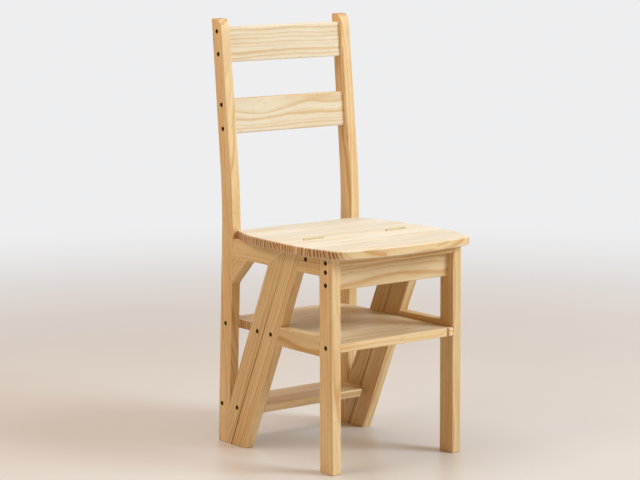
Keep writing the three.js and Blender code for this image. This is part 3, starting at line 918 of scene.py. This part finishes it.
def seat_half(half, way):
    node = "seat_" + half
    low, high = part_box(node)
    seam = low.y if way > 0 else high.y
    plan = section(node, UP, low.z + SEAT_ROUNDING)
    seam_end = max(abs(point.x) for point in plan if abs(point.y - seam) < FLAT)
    ring = refined([
        point for point in plan
        if abs(point.y - seam) > SEAT_ROUNDING or abs(abs(point.x) - seam_end) < FLAT])
    outline = [(point, SEAM_EDGE if abs(point.y - seam) < FLAT else SEAT_EDGE) for point in ring]
    piece = slab(node, outline, low.z, high.z, UP)
    recesses, grooves = bmesh.new(), bmesh.new()
    for side in SIDES:
        leaf_low, leaf_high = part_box("hinge_leaf_%s_%s" % (half, side))
        boxed(recesses,
              (leaf_low.x - HOUSING_GAP, seam - way * OVERRUN, leaf_low.z - HOUSING_GAP),
              (leaf_high.x + HOUSING_GAP, seam + way * LEAF_THICKNESS, leaf_high.z + OVERRUN), BORED_FACE)
        axis, pin_radius, half_length = hinge_axis(side)
        end, radius = half_length + HOUSING_GAP, pin_radius + 2 * HOUSING_GAP
        lathed(grooves, [(-end, 0), (-end, radius), (end, radius), (end, 0)], axis, X_AXIS, BORED_FACE)
    combine(piece, recesses, "DIFFERENCE")
    combine(piece, grooves, "DIFFERENCE")
    wooden(piece, node, X_AXIS, Y_AXIS, SEAT_STAVE, SEAT_PALE_AND_LIT)


def hinge_axis(side):
    """The middle of a hinge pin, the radius of its heads and half its length."""
    low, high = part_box("hinge_pin_" + side)
    return (low + high) / 2, (high.z - low.z) / 2, (high.x - low.x) / 2


for half, way in HALVES.items():
    seat_half(half, way)


# Screws

def screw_mesh():
    """A flat head with a cross recess, a shank and a point, along +Z from under the head."""
    drop, inset = (HEAD_EDGE * share for share in HEAD_EDGE_SHARES)
    mesh = bmesh.new()
    lathed(mesh, [
        (HEAD_HEIGHT, 0), (HEAD_HEIGHT, HEAD_RADIUS - HEAD_EDGE),
        (HEAD_HEIGHT - drop, HEAD_RADIUS - inset), (HEAD_HEIGHT - HEAD_EDGE, HEAD_RADIUS),
        (0, HEAD_RADIUS), (0, SHANK_RADIUS),
        (-SHANK_LENGTH, SHANK_RADIUS), (-SHANK_LENGTH - POINT_LENGTH, 0),
    ], ORIGIN, Z_AXIS)
    screw = new_object("screw", mesh)
    for length, width in ((RECESS_LENGTH, RECESS_WIDTH), (RECESS_WIDTH, RECESS_LENGTH)):
        slot = bmesh.new()
        boxed(slot,
              (-length / 2, -width / 2, RECESS_FLOOR),
              (length / 2, width / 2, HEAD_HEIGHT + OVERRUN))
        combine(screw, slot, "DIFFERENCE")
    dress(screw, steel)
    data = screw.data
    bpy.data.objects.remove(screw)
    return data


screw_data = screw_mesh()
turns = random.Random("screws")
for side, way in SIDES.items():
    for node in sorted(nodes):
        if not node.startswith("screw_" + side):
            continue
        low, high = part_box(node)
        middle = (low + high) / 2
        head_x = way * (outer_face - BORE_DEPTH + HOUSING_GAP)
        piece = bpy.data.objects.new(node + "_steel", screw_data)
        bpy.context.scene.collection.objects.link(piece)
        spin = Matrix.Rotation(turns.uniform(0, math.pi), 4, "Z")
        outwards = Matrix.Rotation(way * math.pi / 2, 4, "Y")
        piece.matrix_world = Matrix.Translation((head_x, middle.y, middle.z)) @ outwards @ spin
        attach(piece, body_of_node[node])
        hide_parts(node)


# Hinges: leaves with countersunk screws, knuckles that take turns, and a pin with domed heads

def hinge_leaf(half, way, side):
    node = "hinge_leaf_%s_%s" % (half, side)
    low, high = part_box(node)
    axis, radius = hinge_axis(side)[:2]
    face, back = axis.y + way * LEAF_GAP / 2, axis.y + way * (LEAF_GAP / 2 + LEAF_THICKNESS)
    top = axis.z - radius - HOUSING_GAP
    plate = bmesh.new()
    boxed(plate, (low.x, face, low.z), (high.x, back, top))
    bmesh.ops.bevel(
        plate, geom=plate.edges[:], offset=LEAF_GAP / 2, segments=LEAF_BEVEL_STEPS, affect="EDGES")
    piece = new_object(node, plate)

    span = (high.x - low.x) / KNUCKLES
    length = span - KNUCKLE_GAP
    bore = PIN_RADIUS + PIN_CLEARANCE
    for index in range(int(way == HALVES["rear"]), KNUCKLES, 2):
        start = Vector((low.x + span * index + KNUCKLE_GAP / 2, axis.y, axis.z))
        neck_top = axis.z - (radius + PIN_RADIUS) / 2
        neck = bmesh.new()
        boxed(neck, (start.x, face, top - LEAF_THICKNESS / 2), (start.x + length, back, neck_top))
        combine(piece, neck, "UNION")
        barrel = bmesh.new()
        lathed(barrel, [
            (0, bore), (0, radius - KNUCKLE_CHAMFER), (KNUCKLE_CHAMFER, radius),
            (length - KNUCKLE_CHAMFER, radius), (length, radius - KNUCKLE_CHAMFER), (length, bore),
        ], start, X_AXIS)
        combine(piece, barrel, "UNION")

    middle = (low.x + high.x) / 2
    for number, place in enumerate(LEAF_SCREW_PLACES, 1):
        spot = Vector((middle + place, face, top - LEAF_SCREW_DROP))
        sink = bmesh.new()
        lathed(sink, [
            (-LEAF_GAP, 0), (-LEAF_GAP, LEAF_SCREW_RADIUS), (0, LEAF_SCREW_RADIUS),
            (LEAF_SCREW_DEPTH, LEAF_SCREW_RADIUS - LEAF_SCREW_DEPTH), (LEAF_SCREW_DEPTH, 0),
        ], spot, way * Y_AXIS)
        combine(piece, sink, "DIFFERENCE")
        leaf_screw(node, number, spot, way)
    dress(piece, brass)
    piece.name = node + "_brass"
    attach(piece, body_of_node[node])
    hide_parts(node)


def leaf_screw(node, number, spot, way):
    """A slotted, countersunk head, just under the face of its leaf."""
    width = LEAF_SCREW_RADIUS - LEAF_GAP / 2
    mesh = bmesh.new()
    lathed(mesh, [
        (LEAF_GAP / 2, 0), (LEAF_GAP / 2, width),
        (LEAF_SCREW_DEPTH, width - LEAF_SCREW_DEPTH + LEAF_GAP / 2), (LEAF_SCREW_DEPTH, 0),
    ], spot, way * Y_AXIS)
    piece = new_object("%s_screw_%d" % (node, number), mesh)
    length, breadth, depth = LEAF_SCREW_SLOT
    slot = bmesh.new()
    boxed(slot, spot - Vector((breadth / 2, LEAF_GAP, length / 2)),
          spot + Vector((breadth / 2, way * (LEAF_GAP / 2 + depth), length / 2)))
    combine(piece, slot, "DIFFERENCE")
    dress(piece, brass)
    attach(piece, body_of_node[node])


def hinge_pin(side):
    node = "hinge_pin_" + side
    axis, radius, half_length = hinge_axis(side)
    profile = [(-half_length, 0)]
    profile += [(PIN_HEAD * along - half_length, radius * across) for along, across in PIN_HEAD_SHARES]
    profile += [(PIN_HEAD - half_length, radius), (PIN_HEAD - half_length, PIN_RADIUS)]
    profile += [(-along, size) for along, size in reversed(profile)]
    mesh = bmesh.new()
    lathed(mesh, profile, axis, X_AXIS)
    piece = new_object(node + "_plated", mesh)
    dress(piece, brass)
    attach(piece, body_of_node[node])
    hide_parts(node)


for side in SIDES:
    hinge_pin(side)
    for half, way in HALVES.items():
        hinge_leaf(half, way, side)


# Studio: pale floor and wall, soft light, and the camera where the photograph was taken

WALL = (0.855, 0.855, 0.865)
SURROUNDINGS = (1.0, 0.545, 0.22)
SURROUNDINGS_STRENGTH = 0.41

FLOOR_SIZE = 30
FLOOR_PARTS = 8
FLOOR_FADE = (0.9, 3.4)
FLOOR_DARK = (0.66, 0.63, 0.60)
FLOOR_LIGHT = (0.71, 0.68, 0.65)
FLOOR_PATCH_SCALE = 3.0
FLOOR_ROUGHNESS = 0.38
FLOOR_SPECULAR = 0.35

# Lamps: place, aim, width in metres, power in watts, and colour
LAMPS = {
    "key_light": ((2.4, -3.5, 2.9), (0, 0, 0.5), 2.4, 198, (0.765, 0.915, 1.0)),
    "top_light": ((-0.3, 0.4, 3.6), (0, 0, 0.4), 2.6, 44, (0.90, 0.96, 1.0)),
    "left_fill": ((-1.5, 0.1, 1.9), (0, 0, 1.0), 1.0, 12, (1.0, 0.92, 0.80)),
}

# The camera as fitted to the photograph: lens and sensor in millimetres, and angles in degrees
CAMERA_PLACE = (-2.9482, -3.8028, 1.1680)
CAMERA_HEADING = -37.209
CAMERA_TILT = 81.432
CAMERA_ROLL = -0.203
CAMERA_LENS = 131.4
CAMERA_SENSOR = 36


def make_floor():
    """A floor that shows its paint near the chair and fades to the pale wall behind it."""
    mesh = bmesh.new()
    bmesh.ops.create_grid(mesh, x_segments=FLOOR_PARTS, y_segments=FLOOR_PARTS, size=FLOOR_SIZE)
    floor = new_object("floor", mesh)
    material = bpy.data.materials.new("floor_paint")
    g = Graph(material)
    place = g.node("ShaderNodeTexCoord").outputs["Object"]
    patches = g.noise(place, FLOOR_PATCH_SCALE)
    g.put(g.shader.inputs["Base Color"], g.mix(patches, FLOOR_DARK, FLOOR_LIGHT))
    g.put(g.shader.inputs["Roughness"], FLOOR_ROUGHNESS)
    g.put(g.shader.inputs["Specular IOR Level"], FLOOR_SPECULAR)
    seen = g.node("ShaderNodeLightPath").outputs["Is Camera Ray"]
    share = g.times(g.smooth(g.length(place), *FLOOR_FADE), seen)
    glow = g.node("ShaderNodeEmission", {"Color": WALL, "Strength": 1.0}).outputs[0]
    shown = g.node("ShaderNodeMixShader", {0: share, 1: g.shader.outputs[0], 2: glow}).outputs[0]
    g.put(g.tree.nodes["Material Output"].inputs["Surface"], shown)
    floor.data.materials.append(material)


def make_world():
    """Warm, dim light from all round, and a pale wall where the camera looks past the floor."""
    world = bpy.data.worlds.new("studio")
    bpy.context.scene.world = world
    g = Graph(world)
    light = g.tree.nodes["Background"]
    g.put(light.inputs["Color"], SURROUNDINGS)
    g.put(light.inputs["Strength"], SURROUNDINGS_STRENGTH)
    wall = g.node("ShaderNodeBackground", {"Color": WALL})
    paths = g.node("ShaderNodeLightPath").outputs
    mirrored = g.math("MAXIMUM", paths["Is Glossy Ray"], paths["Is Transmission Ray"])
    seen = g.math("MAXIMUM", paths["Is Camera Ray"], mirrored)
    shown = g.node("ShaderNodeMixShader", {0: seen, 1: light.outputs[0], 2: wall.outputs[0]}).outputs[0]
    g.put(g.tree.nodes["World Output"].inputs["Surface"], shown)


def softbox(name, place, target, size, power, colour):
    light = bpy.data.lights.new(name, "AREA")
    light.shape = "DISK"
    light.size = size
    light.energy = power
    light.color = colour
    lamp = bpy.data.objects.new(name, light)
    lamp.location = place
    lamp.rotation_euler = (Vector(target) - Vector(place)).to_track_quat("-Z", "Y").to_euler()
    bpy.context.scene.collection.objects.link(lamp)


def make_camera():
    camera = bpy.data.objects.new("camera", bpy.data.cameras.new("camera"))
    camera.data.lens = CAMERA_LENS
    camera.data.sensor_width = CAMERA_SENSOR
    camera.matrix_world = (
        Matrix.Translation(CAMERA_PLACE)
        @ Matrix.Rotation(math.radians(CAMERA_HEADING), 4, "Z")
        @ Matrix.Rotation(math.radians(CAMERA_TILT), 4, "X")
        @ Matrix.Rotation(math.radians(CAMERA_ROLL), 4, "Z"))
    bpy.context.scene.collection.objects.link(camera)
    return camera


make_floor()
make_world()
for name, settings in LAMPS.items():
    softbox(name, *settings)
bpy.context.scene.camera = make_camera()
bpy.context.scene.view_settings.view_transform = "Standard"
